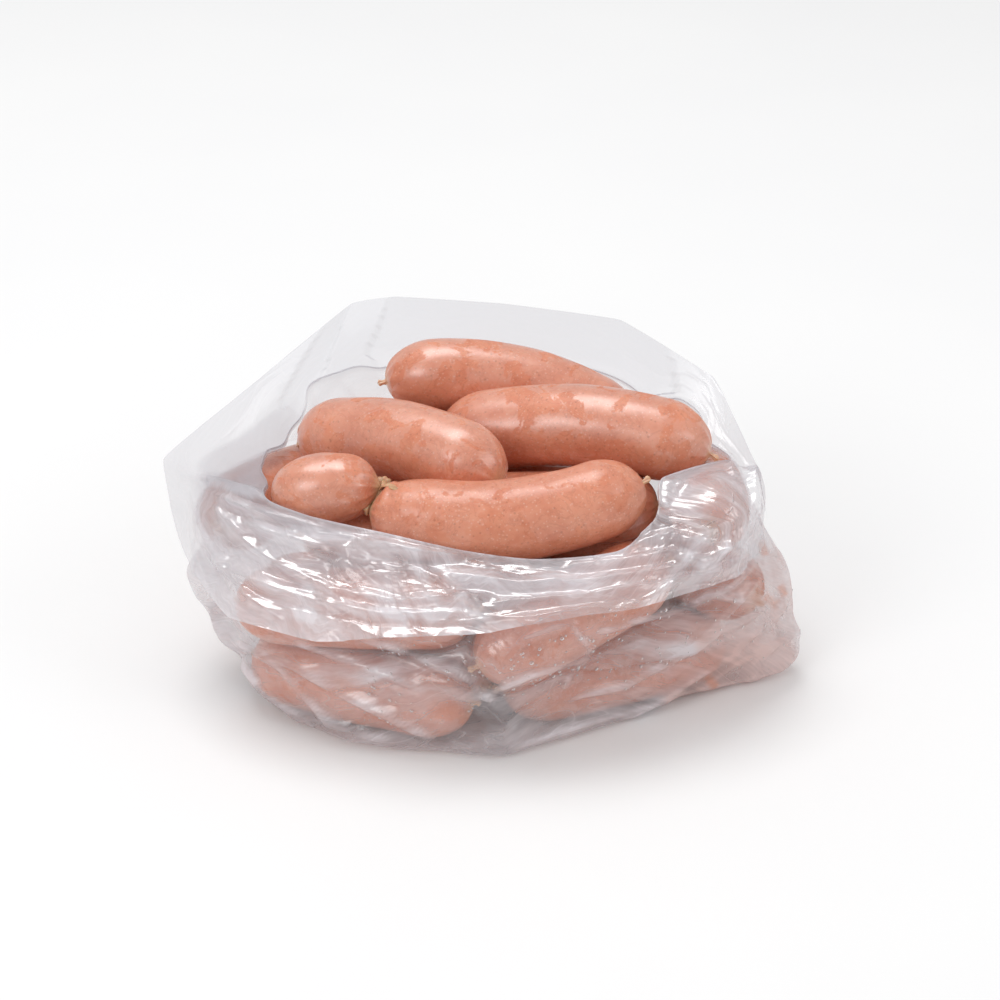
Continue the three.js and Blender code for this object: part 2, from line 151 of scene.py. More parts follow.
def attribute(tree, name, output="Fac"):
    node = tree.nodes.new("ShaderNodeAttribute")
    node.attribute_name = name
    return node.outputs[output]


def ramp(tree, source, *stops):
    """A ramp between two stops, each a place and a colour or a grey."""
    node = tree.nodes.new("ShaderNodeValToRGB")
    for element, (place, color) in zip(node.color_ramp.elements, stops):
        element.position = place
        element.color = (color, color, color, 1.0) if isinstance(color, float) else (*color, 1.0)
    tree.links.new(source, node.inputs["Fac"])
    return node.outputs["Color"]


def math_node(tree, operation, first, second=None, clamp=False):
    node = tree.nodes.new("ShaderNodeMath")
    node.operation = operation
    node.use_clamp = clamp
    for index, value in enumerate((first, second)):
        if value is None:
            continue
        if isinstance(value, (int, float)):
            node.inputs[index].default_value = value
        else:
            tree.links.new(value, node.inputs[index])
    return node.outputs[0]


def times(tree, first, second):
    return math_node(tree, "MULTIPLY", first, second)


def noise(tree, vector, scale, detail=3.0, roughness=0.55, distortion=0.0):
    node = add_node(tree, "ShaderNodeTexNoise", Scale=scale, Detail=detail, Roughness=roughness)
    node.inputs["Distortion"].default_value = distortion
    tree.links.new(vector, node.inputs["Vector"])
    return node.outputs["Fac"]


def spots(tree, place, scale, inner, outer):
    """Small round spots, and the distance to the nearest spot's middle."""
    cells = add_node(tree, "ShaderNodeTexVoronoi", Scale=scale, Randomness=1.0)
    tree.links.new(place, cells.inputs["Vector"])
    distance = cells.outputs["Distance"]
    return ramp(tree, distance, (inner, 0.4), (outer, 0.0)), distance


def mix_color(tree, factor, first, second, blend="MIX"):
    node = tree.nodes.new("ShaderNodeMix")
    node.data_type = "RGBA"
    node.blend_type = blend
    for socket, value in ((node.inputs[0], factor), (node.inputs[6], first), (node.inputs[7], second)):
        if isinstance(value, float):
            socket.default_value = value
        elif isinstance(value, tuple):
            socket.default_value = (*value, 1.0)
        else:
            tree.links.new(value, socket)
    return node.outputs[2]


def mix_shaders(tree, factor, first, second):
    node = tree.nodes.new("ShaderNodeMixShader")
    if isinstance(factor, float):
        node.inputs[0].default_value = factor
    else:
        tree.links.new(factor, node.inputs[0])
    tree.links.new(first.outputs[0], node.inputs[1])
    tree.links.new(second.outputs[0], node.inputs[2])
    return node


def add_bump(tree, height, strength, distance, *shaders):
    bump = add_node(tree, "ShaderNodeBump", Strength=strength, Distance=distance)
    tree.links.new(height, bump.inputs["Height"])
    for shader in shaders:
        tree.links.new(bump.outputs[0], shader.inputs["Normal"])


def set_surface(tree, shader):
    out = tree.nodes.new("ShaderNodeOutputMaterial")
    tree.links.new(shader.outputs[0], out.inputs["Surface"])


def sausage_material():
    """Pale pink-brown cured sausage in a thin natural casing: mottled, finely speckled, moist."""
    material, tree = node_material("sausage")
    place = object_place(tree)
    broad = noise(tree, place, 45, 3, 0.5)
    mottle = noise(tree, place, 170, 4, 0.6, 0.4)
    grain = noise(tree, place, 900, 3, 0.6)
    color = ramp(tree, broad, (0.3, (0.57, 0.185, 0.1)), (0.7, (0.68, 0.26, 0.155)))
    pale = ramp(tree, mottle, (0.35, 0.0), (0.75, 0.55))
    color = mix_color(tree, pale, color, (0.74, 0.345, 0.225))
    marbling = noise(tree, place, 95, 5, 0.65, 1.2)
    rise = ramp(tree, marbling, (0.47, 0.0), (0.5, 0.34))
    fall = ramp(tree, marbling, (0.5, 1.0), (0.54, 0.0))
    vein = mix_color(tree, 1.0, rise, fall, "MULTIPLY")
    color = mix_color(tree, vein, color, (0.43, 0.13, 0.065))
    fat, fat_distance = spots(tree, place, 520.0, 0.14, 0.27)
    color = mix_color(tree, fat, color, (0.74, 0.47, 0.38))
    pepper, _ = spots(tree, place, 300.0, 0.1, 0.2)
    color = mix_color(tree, pepper, color, (0.33, 0.1, 0.05))
    color = mix_color(tree, attribute(tree, "dry"), color, (0.68, 0.41, 0.25))
    skin = add_node(tree, "ShaderNodeBsdfPrincipled", IOR=1.42, Coat_Roughness=0.33, Coat_IOR=1.85)
    skin.inputs["Subsurface Weight"].default_value = 0.22
    skin.inputs["Subsurface Scale"].default_value = 0.006
    skin.inputs["Subsurface Radius"].default_value = (1.0, 0.42, 0.25)
    tree.links.new(color, skin.inputs["Base Color"])
    patches = noise(tree, place, 75, 4, 0.55, 0.6)
    moist = times(tree, ramp(tree, patches, (0.44, 0.12), (0.475, 1.0)), attribute(tree, "wet"))
    tree.links.new(moist, skin.inputs["Coat Weight"])
    tree.links.new(ramp(tree, patches, (0.4, 0.55), (0.56, 0.36)), skin.inputs["Roughness"])
    height = math_node(tree, "ADD", times(tree, grain, 0.35), mottle)
    height = math_node(tree, "SUBTRACT", height, times(tree, fat_distance, 0.15))
    add_bump(tree, height, 0.32, 0.0006, skin)
    set_surface(tree, skin)
    return material


def casing_material():
    """Dried, twisted casing: tan, slightly clear, finely wrinkled."""
    material, tree = node_material("dried_casing")
    place = object_place(tree)
    color = ramp(tree, noise(tree, place, 320, 4), (0.3, (0.44, 0.23, 0.12)), (0.7, (0.66, 0.43, 0.25)))
    skin = add_node(tree, "ShaderNodeBsdfPrincipled", Roughness=0.38, Subsurface_Weight=0.3)
    skin.inputs["Subsurface Scale"].default_value = 0.002
    tree.links.new(color, skin.inputs["Base Color"])
    add_bump(tree, noise(tree, place, 900, 2), 0.3, 0.0003, skin)
    set_surface(tree, skin)
    return material


def film_material():
    """Thin clear plastic: see-through where it is wet against a link, milky where it stands off.

    The points of the film hold the haze, how rumpled it is, the tint of juice and the place on the sheet."""
    material, tree = node_material("clear_film")
    haze, rumple, blush = (attribute(tree, name) for name in ("haze", "rumple", "blush"))
    stretch = tree.nodes.new("ShaderNodeMapping")
    stretch.inputs["Scale"].default_value = (0.2, 1.0, 0.2)
    stretch.inputs["Rotation"].default_value = (0, 0, math.radians(4))
    tree.links.new(attribute(tree, "sheet", "Vector"), stretch.inputs["Vector"])
    sheet = stretch.outputs[0]
    streaks = noise(tree, sheet, 420, 3, 0.55)
    broad = noise(tree, sheet, 85, 2, 0.45)
    folds = math_node(tree, "ABSOLUTE", math_node(tree, "SUBTRACT", noise(tree, sheet, 105, 1, 0.4), 0.5))
    veins = ramp(tree, folds, (0.0, 1.0), (0.014, 0.0))
    light = ramp(tree, broad, (0.36, 0.5), (0.64, 1.45))
    fine = ramp(tree, streaks, (0.35, 0.88), (0.65, 1.12))
    change = mix_color(tree, 1.0, light, fine, "MULTIPLY")
    change = mix_color(tree, rumple, (1.0, 1.0, 1.0), change)
    veins = times(tree, times(tree, veins, rumple), 0.12)
    veil = math_node(tree, "ADD", times(tree, haze, change), veins, True)

    milky = mix_color(tree, rumple, (0.6, 0.6, 0.64), (0.88, 0.87, 0.91))
    milky = mix_color(tree, blush, milky, (0.8, 0.46, 0.36))
    milk = tree.nodes.new("ShaderNodeBsdfDiffuse")
    through = tree.nodes.new("ShaderNodeBsdfTranslucent")
    tree.links.new(milky, milk.inputs["Color"])
    tree.links.new(milky, through.inputs["Color"])
    gloss = add_node(tree, "ShaderNodeBsdfAnisotropic", Color=(1.0, 1.0, 1.0, 1.0), Roughness=0.17)
    clear = add_node(tree, "ShaderNodeBsdfTransparent", Color=(0.955, 0.955, 0.965, 1.0))
    shine = add_node(tree, "ShaderNodeFresnel", IOR=1.6)
    height = math_node(tree, "ADD", times(tree, folds, 2.6), times(tree, streaks, 0.22))
    add_bump(tree, times(tree, height, rumple), 0.7, 0.0008, milk, through, gloss, shine)

    veiled = mix_shaders(tree, veil, clear, mix_shaders(tree, 0.45, milk, through))
    uneven = math_node(tree, "ADD", math_node(tree, "POWER", rumple, 2.0), 0.03, True)
    share = times(tree, math_node(tree, "MINIMUM", shine.outputs[0], 0.17), uneven)
    set_surface(tree, mix_shaders(tree, share, veiled, gloss))
    return material


def droplet_material():
    """Water: clear, a little bright inside, with a small sharp gloss."""
    material, tree = node_material("water_bead")
    tone = noise(tree, object_place(tree), 200)
    color = ramp(tree, tone, (0.3, (0.86, 0.84, 0.84)), (0.7, (1.0, 0.99, 0.99)))
    body = tree.nodes.new("ShaderNodeBsdfTranslucent")
    tree.links.new(color, body.inputs["Color"])
    clear = tree.nodes.new("ShaderNodeBsdfTransparent")
    gloss = add_node(tree, "ShaderNodeBsdfAnisotropic", Roughness=0.08)
    shine = add_node(tree, "ShaderNodeFresnel", IOR=1.5)
    inside = mix_shaders(tree, 0.38, clear, body)
    set_surface(tree, mix_shaders(tree, shine.outputs[0], inside, gloss))
    return material


# Links


def link_facts(name):
    """The middle, half length, bend and radius of a link, from its solid, mm."""
    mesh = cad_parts[name].data
    points = np.array([vertex.co[:] for vertex in mesh.vertices]) / MM
    points = np.unique(np.round(points, 4), axis=0)
    first = points[np.argmax(np.linalg.norm(points - points.mean(0), axis=1))]
    last = points[np.argmax(np.linalg.norm(points - first, axis=1))]
    first = points[np.argmax(np.linalg.norm(points - last, axis=1))]
    if first[0] > last[0]:
        first, last = last, first
    reach = np.linalg.norm(last - first)
    along = (last - first) / reach
    length = reach - 2 * TIP_LENGTH
    middle = (first + last) / 2
    s = (points - middle) @ along / (length / 2)
    inside = np.abs(s) < 0.8
    base = np.stack([np.ones(inside.sum()), 1 - s[inside] ** 2], axis=1)
    rest = points[inside] - np.outer(s[inside], along * length / 2)
    (at, bow), *_ = np.linalg.lstsq(base, rest, rcond=None)
    near = np.abs(s) < 0.5
    spine = at + np.outer(s[near], along * length / 2) + np.outer(1 - s[near] ** 2, bow)
    radius = np.linalg.norm(points[near] - spine, axis=1).max()
    half = along * length / 2
    return {"name": name, "at": at, "half": half, "bow": bow, "length": length, "radius": radius}


def spine(link, s):
    s = np.asarray(s, dtype=float)[..., None]
    return link["at"] + link["half"] * s + link["bow"] * (1 - s * s)


def link_spheres(link):
    """Balls that fill a link, for the film to lie on."""
    distance = np.linspace(0.03, 0.97, 34) * link["length"]
    dome = link["radius"] * DOME_STRETCH
    near = np.minimum(distance, link["length"] - distance)
    share = np.minimum(near / dome, 1)
    radius = link["radius"] * np.sqrt(1 - (1 - share) ** 2)
    radius = np.minimum(radius, near + 0.15 * link["radius"])
    places = spine(link, 2 * distance / link["length"] - 1)
    tip = 1 + 1.4 * TIP_LENGTH / link["length"]
    tips = spine(link, [-tip, tip])
    return np.vstack([places, tips]), np.concatenate([radius, [2.0, 2.0]])


def ring_faces(rings, sides):
    """Quads between rings of points, and fans to the first and last point."""
    faces = []
    for ring in range(rings - 1):
        low, high = 1 + ring * sides, 1 + (ring + 1) * sides
        for side in range(sides):
            turn = (side + 1) % sides
            faces.append((low + side, low + turn, high + turn, high + side))
    last = 1 + rings * sides
    for side in range(sides):
        turn = (side + 1) % sides
        faces.append((0, 1 + turn, 1 + side))
        faces.append((last, last - sides + side, last - sides + turn))
    return faces


def ring_ways(turn, side, over):
    """Directions round a path that runs across its side and over vectors."""
    return np.cos(turn)[None, :, None] * side[:, None] + np.sin(turn)[None, :, None] * over[:, None]


def link_stations(radius, length, middle_rings, joined):
    """The distance of each ring from the link's first end, and its radius."""
    dome = radius * DOME_STRETCH
    angle = np.linspace(0.05, np.pi / 2, 24)
    ends = [(-3.9, 0.7), (-3.5, 1.25), (-2.9, 1.4), (-2.3, 1.2), (-1.6, 1.0), (-0.9, 1.0), (-0.3, 1.2)]
    near = ends + [(dome * (1 - math.cos(a)), max(radius * math.sin(a), 1.4)) for a in angle]
    neck = [(distance, max(size, radius * (1 - math.exp(-(distance + 4.2) / 6)))) for distance, size in near]
    far = [(length - distance, size) for distance, size in (neck if joined == 1 else near)][::-1]
    near = neck if joined == 0 else near
    body = [(distance, radius) for distance in np.linspace(dome, length - dome, middle_rings + 2)[1:-1]]
    return np.array(near + body + far).T


def build_link(link, material, rng, sides, middle_rings, joined=None):
    """A fine link: a bent, slightly uneven body, pleated towards its tied ends, with dried casing tips.

    The end that is joined to another link, 0 or 1, has a fuller neck of casing."""
    radius, length = link["radius"] + SKIN, link["length"]
    distance, size = link_stations(radius, length, middle_rings, joined)
    centre = spine(link, 2 * distance / length - 1)
    along = unit(np.gradient(centre, axis=0))
    side = unit(np.cross([0.0, 0.0, 1.0], along))
    over = np.cross(along, side)
    turn = np.arange(sides) / sides * 2 * np.pi
    phase = rng.uniform(0, 2 * np.pi, 8)
    x = (distance / length)[:, None]
    wave = 0.016 * np.sin(2 * np.pi * 1.1 * x + phase[0]) + 0.010 * np.sin(2 * np.pi * 2.7 * x + phase[1])
    wave = wave + 0.018 * np.cos(2 * turn + phase[2] + 2.2 * x) + 0.009 * np.cos(3 * turn + phase[3] - 4 * x)
    wave = wave + 0.005 * np.sin(5 * turn + phase[4] + 9 * x) * np.sin(2 * np.pi * 4 * x + phase[5])
    to_end = np.minimum(distance, length - distance)[:, None]
    pleats = [int(value) for value in rng.integers(10, 15, 2)]
    ribs = np.where(x < 0.5, np.cos(pleats[0] * turn + phase[6]), np.cos(pleats[1] * turn + phase[7]))
    ribs = np.maximum(ribs, -0.4) + 0.35 * np.cos(3 * turn + phase[5])
    pucker = 0.10 * np.exp(-np.maximum(to_end, 0) / 4.5) * ribs
    tied = np.zeros(x.shape, dtype=bool) if joined is None else (x < 0.5) == (joined == 0)
    pucker = np.where((to_end < 0) & ~tied, 0.22 * np.cos(5 * turn + to_end * 0.6 + phase[6]), pucker)
    body_share = smoothstep(-1, 8, to_end)
    scale = 1 + 0.72 * wave * body_share + pucker
    radii = size[:, None] * scale
    ways = ring_ways(turn, side, over)
    if joined == 0:
        # The joined end is blunt above, where it presses against its neighbours.
        blunt = smoothstep(0, 4, to_end) * smoothstep(0.1, 0.75, ways @ [0, 0.35, 0.94]) * (x < 0.25)
        radii = radii + np.maximum(0.8 * radius - radii, 0) * blunt
    points = centre[:, None] + radii[..., None] * ways
    lean = rng.normal(0, 0.5, (2, 3))
    bend = np.maximum(-to_end - 1, 0)[..., None] * 0.35
    points = points + bend * np.where((x < 0.5)[..., None], lean[0], lean[1])
    first = points[0].mean(0) - along[0] * 0.4
    last = points[-1].mean(0) + along[-1] * 0.4
    vertices = np.vstack([first, points.reshape(-1, 3), last])
    dry = np.repeat(np.clip(1 - (to_end + 0.6 + 2.4 * tied) / 2.6, 0, 1), sides, axis=1).ravel()
    dry = np.concatenate([[1.0], dry, [1.0]])
    values = {"dry": dry, "wet": np.full(len(dry), 0.45 if link["name"] == "link_front" else 1.0)}
    faces = ring_faces(len(distance), sides)
    mesh_piece(link["name"] + "_fine", vertices, faces, material, [link["name"]], values)


def tied_tip(link, other, distance):
    """A point straight out from the end of a link that lies nearer another link."""
    ends = [spine(link, sign * (1 + 2 * (TIP_LENGTH + distance) / link["length"])) for sign in (-1, 1)]
    return min(ends, key=lambda end: np.linalg.norm(end - other["at"]))


def twist_part(first, second):
    """The twisted casing between the tips of two links, fuller towards its ends."""
    a, b = tied_tip(first, second, -0.6), tied_tip(second, first, -0.6)
    handles = tied_tip(first, second, 4.5), tied_tip(second, first, 4.5)
    rings, sides = 44, 20
    share = np.linspace(0, 1, rings)[:, None]
    path = (1 - share) ** 3 * a + 3 * (1 - share) ** 2 * share * handles[0]
    path = path + 3 * (1 - share) * share**2 * handles[1] + share**3 * b
    along = unit(np.gradient(path, axis=0))
    side = unit(np.cross(along, [0.2, 0.5, 1.0]))
    over = np.cross(along, side)
    turn = np.arange(sides) / sides * 2 * np.pi
    twist = turn[None] + share * 6.5
    ribs = 1 + 0.16 * np.cos(4 * twist) + 0.05 * np.cos(9 * twist)
    radius = (1.5 + 1.3 * np.abs(2 * share - 1) ** 1.5) * ribs
    points = path[:, None] + radius[..., None] * ring_ways(turn, side, over)
    ends = path[0] - along[0] * 0.3, path[-1] + along[-1] * 0.3
    return np.vstack([ends[0], points.reshape(-1, 3), ends[1]]), ring_faces(rings, sides)


def flap_part():
    """A frayed flap of casing: a flat, curled leaf from the twist over the end of the second link."""
    knots = np.array([[-44.0, -22.2, 105.0], [-42.4, -28.2, 112.2], [-35.9, -36.4, 110.6]]) + SHIFT
    rings, sides = 18, 12
    steps = np.linspace(0, 1, rings)[:, None]
    path = (1 - steps) ** 2 * knots[0] + 2 * (1 - steps) * steps * knots[1] + steps**2 * knots[2]
    out = unit(np.gradient(path, axis=0))
    wide = unit(np.cross([0.0, -0.45, 0.9], out))
    lift = np.cross(out, wide)
    width = (0.4 + 1.7 * np.sqrt(1 - 0.97 * steps)) * (1 + 0.15 * np.cos(steps * 17))
    thickness = 0.22 + 0.08 * width
    turn = np.arange(sides) / sides * 2 * np.pi
    points = path[:, None] + ring_ways(turn, width * wide, thickness * lift)
    return np.vstack([path[0], points.reshape(-1, 3), path[-1] + out[-1] * 0.2]), ring_faces(rings, sides)


def gather_part():
    """Gathered casing behind the twist, pleated out from its middle."""
    heart = np.array([-44.6, -13.5, 102.2]) + SHIFT
    axes = np.array([[1.0, 0.0, 0.1], [0.0, 0.5, 0.87], [0.0, -0.87, 0.5]])
    sizes = [4.4, 3.7, 2.0]
    rings, sides = 12, 40
    polar = np.arange(1, rings + 1)[:, None] / (rings + 1) * np.pi
    around = np.arange(sides)[None] / sides * 2 * np.pi
    ribs = 1 + 0.06 * np.sin(polar) * np.cos(9 * around + polar)
    ball = np.sin(polar) * np.cos(around), np.sin(polar) * np.sin(around), np.cos(polar) + 0 * around
    points = heart + ribs[..., None] * sum(
        share[..., None] * size * axis for share, size, axis in zip(ball, sizes, axes)
    )
    ends = heart + sizes[2] * axes[2], heart - sizes[2] * axes[2]
    faces = [face[::-1] for face in ring_faces(rings, sides)]
    return np.vstack([ends[0], points.reshape(-1, 3), ends[1]]), faces


def joined_parts(parts):
    """The points and faces of several parts as one mesh."""
    points, faces = [], []
    start = 0
    for part_points, part_faces in parts:
        points.append(part_points)
        faces += [tuple(start + index for index in face) for face in part_faces]
        start += len(part_points)
    return np.vstack(points), faces


def build_knot(first, second, material):
    """The twisted casing between the joined links, with a frayed flap."""
    points, faces = joined_parts([twist_part(first, second), flap_part(), gather_part()])
    mesh_piece("casing_knot", points, faces, material, ["casing_twist"])


# Film


def closed_curve(points, tension, count):
    points = np.array(points, dtype=float)
    total = len(points)
    place = np.arange(count) / count * total
    index = place.astype(int)
    w = (place - index)[:, None]
    p0, p1 = points[(index - 1) % total], points[index % total]
    p2, p3 = points[(index + 1) % total], points[(index + 2) % total]
    a, b = tension * (p2 - p0), tension * (p3 - p1)
    return (2 * p1 - 2 * p2 + a + b) * w**3 + (-3 * p1 + 3 * p2 - 2 * a - b) * w**2 + a * w + p1


def pixels(points):
    """Where points in mm lie in the 1000 by 1000 picture."""
    away = points - CAMERA_PLACE
    depth = away @ CAMERA_AHEAD
    across, down = away[..., 0] / depth, -(away @ CAMERA_UP) / depth
    return 500 + FOCAL_PIXELS * np.stack([across, down], axis=-1)


def nearest_square(points, seeds):
    best = np.full(len(points), np.inf, dtype=np.float32)
    for seed in seeds.astype(np.float32):
        best = np.minimum(best, ((points - seed) ** 2).sum(1))
    return best


def crumple(points, spacing, rng):
    """A value that runs in flat facets with sharp folds between them, of about unit height."""
    points = points.astype(np.float32)
    low, high = points.min(0), points.max(0)
    count = int(np.clip(np.prod(np.maximum((high - low) / spacing, 1.0)), 12, 420))
    seeds = [rng.uniform(low, high, (count, points.shape[1])) for _ in range(2)]
    value = nearest_square(points, seeds[0]) - nearest_square(points, seeds[1])
    value = value - value.mean()
    return np.clip(value / max(value.std(), 1e-6), -2.2, 2.2)


def line_distance(points, line):
    """The distance from 2-D points to a line, signed by its side, and the place along it from 0 to 1."""
    line = np.array(line, dtype=float)
    spans = np.linalg.norm(np.diff(line, axis=0), axis=1)
    starts = np.concatenate([[0], np.cumsum(spans)])
    best = np.full(len(points), np.inf)
    signed = np.zeros(len(points))
    along = np.zeros(len(points))
    for i in range(len(line) - 1):
        step = line[i + 1] - line[i]
        share = np.clip(((points - line[i]) @ step) / (step @ step), 0, 1)
        gap = points - line[i] - share[:, None] * step
        size = np.linalg.norm(gap, axis=1)
        side = np.sign(step[0] * gap[:, 1] - step[1] * gap[:, 0])
        closer = size < best
        best = np.where(closer, size, best)
        signed = np.where(closer, side * size, signed)
        along = np.where(closer, (starts[i] + share * spans[i]) / starts[-1], along)
    return signed, along


# Creases of the side of the bag: places in the picture, height in mm, width in pixels, and lap. A crease
# without lap is a ridge, and a lapped one slopes gently away on one side, like film over film.
SIDE_CREASES = [
    ([(345, 630), (400, 650), (455, 672), (482, 692), (500, 712)], 3.0, 5, 0.6),
    ([(222, 635), (290, 664), (360, 700), (440, 742)], 3.2, 5, 0.5),
    ([(591, 634), (640, 619), (690, 603), (730, 586), (757, 556)], 3.0, 4, 0.8),
    ([(560, 702), (626, 684), (700, 642), (775, 604)], 2.2, 4, 0.3),
    ([(600, 742), (660, 702), (735, 655), (792, 592)], 2.4, 4, 0.3),
    ([(470, 702), (530, 676), (600, 656), (655, 636)], 2.0, 5, 0.2),
    ([(292, 642), (360, 664), (430, 692)], 1.8, 4, 0.3),
    ([(236, 655), (262, 690), (300, 718), (342, 745)], 2.4, 4, 0.3),
    ([(250, 640), (300, 690), (330, 720), (395, 742)], 1.8, 4, 0.0),
    ([(500, 748), (590, 725), (700, 690), (806, 668)], 2.0, 4, 0.3),
    ([(700, 690), (740, 662), (782, 640), (802, 625)], 2.0, 4, 0.0),
    ([(742, 690), (770, 640), (782, 590)], 1.6, 4, 0.0),
    ([(680, 660), (720, 620), (760, 575)], 1.8, 4, 0.2),
    ([(520, 640), (570, 622), (590, 650), (560, 690)], 1.6, 5, 0.2),
]
# Creases of the cuff
CUFF_CREASES = [
    ([(238, 521), (284, 536), (316, 545), (380, 552), (470, 556)], 2.6, 4, 1.0),
    ([(196, 553), (257, 582), (322, 602), (380, 614), (470, 612)], 2.8, 5, 0.8),
    ([(200, 490), (250, 545), (300, 580), (350, 600)], 2.2, 5, 0.3),
    ([(196, 479), (224, 485), (262, 496), (300, 505)], 3.0, 3, 0.9),
    ([(198, 486), (240, 505), (300, 521), (362, 541), (440, 560)], 2.2, 4, 0.4),
    ([(190, 480), (205, 540), (240, 590), (285, 622)], 2.2, 5, 0.4),
    ([(270, 560), (340, 590), (400, 600), (500, 596)], 2.4, 4, 0.5),
    ([(430, 572), (520, 584), (600, 580), (680, 566), (752, 540)], 2.4, 5, 0.6),
    ([(480, 606), (560, 598), (640, 586), (720, 572), (760, 545)], 2.2, 4, 0.5),
    ([(602, 550), (640, 541), (669, 536), (699, 543), (754, 557)], 2.4, 4, 0.7),
    ([(560, 566), (620, 560), (672, 552), (711, 568)], 2.2, 4, 0.4),
    ([(640, 600), (690, 575), (730, 548), (762, 500)], 1.8, 4, 0.2),
    ([(400, 560), (440, 580), (470, 600), (480, 616)], 1.6, 4, 0.2),
    ([(745, 420), (756, 470), (758, 520), (735, 560)], 1.8, 4, 0.2),
    ([(725, 440), (735, 480), (742, 520)], 1.6, 4, 0.2),
]

# Milky places (above nought) and clear ones (below) of the side: a line, half its width in pixels, and the
# change of the haze.
SIDE_VEILS = [
    ([(620, 690), (690, 650), (770, 610)], 30, 0.07),
    ([(300, 665), (380, 690), (440, 715)], 14, 0.08),
    ([(604, 625), (660, 606), (715, 588), (742, 573)], 9, -0.6),
    ([(525, 636), (560, 640), (585, 625)], 12, -0.35),
    ([(300, 640), (360, 638), (430, 634)], 9, -0.35),
    ([(440, 700), (470, 722), (510, 735)], 12, -0.4),
    ([(330, 716), (400, 728), (450, 735)], 9, -0.25),
    ([(236, 640), (236, 668), (252, 690)], 12, 0.35),
    ([(205, 600), (222, 636)], 14, 0.2),
    ([(184, 556), (200, 590)], 8, -0.3),
    ([(640, 668), (700, 645), (760, 618)], 12, 0.12),
    ([(560, 716), (620, 700), (690, 690)], 12, 0.15),
    ([(352, 690), (372, 676), (400, 660)], 9, 0.2),
]
# Places where juice tints the side of the film: a line, half its width in pixels, and a strength.
SIDE_BLUSHES = [
    ([(660, 712), (730, 682), (812, 655)], 34, 0.45),
    ([(690, 650), (750, 625), (812, 590)], 34, 0.4),
    ([(742, 600), (766, 570), (790, 545)], 16, 0.3),
    ([(760, 540), (766, 556)], 5, 0.7),
    ([(764, 596), (778, 606)], 5, 0.7),
    ([(780, 585), (786, 596)], 4, 0.6),
    ([(706, 676), (717, 688)], 5, 0.7),
]
# Milky and clear places of the cuff; several of the milky places are painted highlights, whiter film put
# where light glints off the cuff's folds and facets.
CUFF_VEILS_AND_HIGHLIGHTS = [
    ([(212, 470), (214, 500), (224, 545)], 20, 0.2),
    # painted highlight along the fold edge
    ([(204, 481), (240, 490), (280, 500)], 4, 0.3),
    ([(246, 500), (300, 512), (346, 524)], 10, -0.2),
    # painted highlight on a facet
    ([(300, 531), (330, 536), (366, 537)], 6, 0.35),
    ([(224, 538), (270, 556), (300, 562)], 8, -0.12),
    # painted highlights on the lower facets, this row and the next two
    ([(246, 598), (280, 608), (318, 618)], 9, 0.4),
    ([(299, 586), (322, 592), (336, 596)], 5, 0.3),
    ([(366, 610), (400, 614), (436, 614)], 6, 0.35),
    ([(400, 582), (460, 590), (500, 592)], 10, -0.1),
    # painted highlight on a facet at the right
    ([(676, 552), (694, 558), (708, 566)], 8, 0.45),
    ([(560, 592), (640, 590), (700, 578)], 10, 0.12),
    ([(500, 604), (560, 598), (600, 592)], 6, -0.2),
    ([(688, 500), (700, 515), (708, 530)], 14, -0.25),
]


def veil_change(places, veils):
    change = np.zeros(len(places))
    for line, width, amount in veils:
        signed, along = line_distance(places, line)
        fade = smoothstep(0, 0.1, along) * smoothstep(0, 0.1, 1 - along)
        change += amount * fade * np.clip(1.6 - 1.4 * np.abs(signed) / width, 0, 1)
    return change


def crease_height(places, creases):
    """The height in mm of the placed creases at each place in the picture."""
    height = np.zeros(len(places))
    for line, size, width, lap in creases:
        signed, along = line_distance(places, line)
        fade = smoothstep(0, 0.12, along) * smoothstep(0, 0.12, 1 - along)
        ridge = np.exp(-np.abs(signed) / width)
        step = np.where(signed < 0, np.exp(signed / (width * 3.5)), 0) * lap
        height += size * fade * np.maximum(ridge, step) * np.exp(-np.maximum(np.abs(signed) - 3 * width, 0))
        height -= 0.45 * size * fade * np.exp(-(((np.abs(signed) - 2.2 * width) / width) ** 2))
    return height


def random_creases(u, v, count, period, rng, tilt, size, width):
    """Short straight ridges on an unrolled sheet, mm."""
    height = np.zeros(u.shape)
    low, high = v.min(), v.max()
    for _ in range(count):
        at_u, at_v = rng.uniform(0, period), rng.uniform(low, high)
        angle = math.radians(rng.normal(*tilt))
        half = rng.uniform(8, 34)
        du = (u - at_u + period / 2) % period - period / 2
        dv = v - at_v
        along = du * math.cos(angle) + dv * math.sin(angle)
        across = dv * math.cos(angle) - du * math.sin(angle)
        across = across + 0.004 * rng.normal() * along**2
        thin = rng.uniform(*width)
        fade = np.clip(1 - (np.abs(along) / half) ** 2, 0, 1)
        height += rng.uniform(*size) * rng.choice([1, 1, -1]) * fade * np.exp(-np.abs(across) / thin)
    return height


